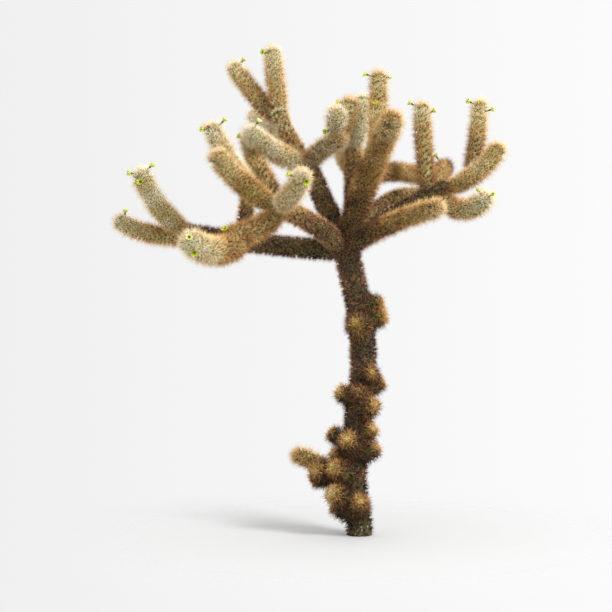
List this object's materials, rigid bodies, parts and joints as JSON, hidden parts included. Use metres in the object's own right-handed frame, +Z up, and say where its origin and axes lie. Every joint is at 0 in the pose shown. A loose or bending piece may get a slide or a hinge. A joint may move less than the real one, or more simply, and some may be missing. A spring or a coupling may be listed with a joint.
{
  "type": "cholla cactus",
  "caption": "Tree-like cholla cactus rooted in the ground: a leaning trunk with young joints, forked dark boughs and straw-coloured spiny arms with small yellow flowers.",
  "frame": {"origin": "centre of the flat cut under the trunk, at ground level", "axes": "+Z up along the trunk, +X to the plant's right as it is seen from the front, +Y to its back"},
  "size_m": [1.4507, 1.271, 1.8189],
  "materials": {
    "trunk_bark": "matte, dark brown with black and russet spines",
    "old_boughs": "matte, dark green flesh under brown spines",
    "young_joints": "matte, green flesh under star-like golden spines",
    "golden_arms": "matte, green flesh under dense golden spines",
    "pale_arms": "matte, green flesh under dense straw-coloured spines"
  },
  "bodies": {
    "root": {"trunk": "trunk_bark", "left_bough": "old_boughs", "left_up_arm": "pale_arms", "left_tip_arm": "pale_arms", "left_riser": "old_boughs", "left_back_arm": "pale_arms", "front_bough": "old_boughs", "gold_up_arm": "golden_arms", "gold_side_arm": "golden_arms", "inner_up_arm": "pale_arms", "front_low_arm": "pale_arms", "front_curl_arm": "pale_arms", "front_hook_arm": "pale_arms", "mid_bough": "old_boughs", "mid_left_arm": "pale_arms", "mid_rise": "old_boughs", "crown_top_arm": "pale_arms", "crown_left_arm": "pale_arms", "mid_back_arm": "pale_arms", "mid_right": "old_boughs", "knot_left_arm": "pale_arms", "knot_mid_arm": "pale_arms", "thick_bough": "old_boughs", "back_bough": "old_boughs", "knot_right_arm": "pale_arms", "back_arm": "pale_arms", "thick_up_arm": "pale_arms", "gold_right_bough": "old_boughs", "right_bough": "old_boughs", "right_end_arm": "golden_arms", "right_up_arm": "pale_arms", "right_post_arm": "pale_arms", "right_spur_arm": "pale_arms", "right_hook_arm": "pale_arms", "rear_bough": "old_boughs", "rear_arm": "golden_arms", "rear_low_arm": "pale_arms", "joint_top_right": "young_joints", "joint_upper_right": "young_joints", "joint_upper_front": "young_joints", "joint_middle_front": "young_joints", "joint_middle_right": "young_joints", "joint_centre_front": "young_joints", "joint_middle_left": "young_joints", "joint_centre_right": "young_joints", "joint_low_left": "young_joints", "joint_low_front": "young_joints", "joint_low_right": "young_joints", "joint_under_right": "young_joints", "joint_under_left": "young_joints", "joint_base_left": "young_joints", "low_spur": "old_boughs", "joint_foot_left": "young_joints", "joint_foot_side": "young_joints", "joint_foot_front": "young_joints", "joint_back_high": "young_joints", "joint_back_middle": "young_joints", "joint_back_low": "young_joints", "joint_spur_front": "young_joints", "joint_spur_low": "young_joints"}
  },
  "joints": []
}
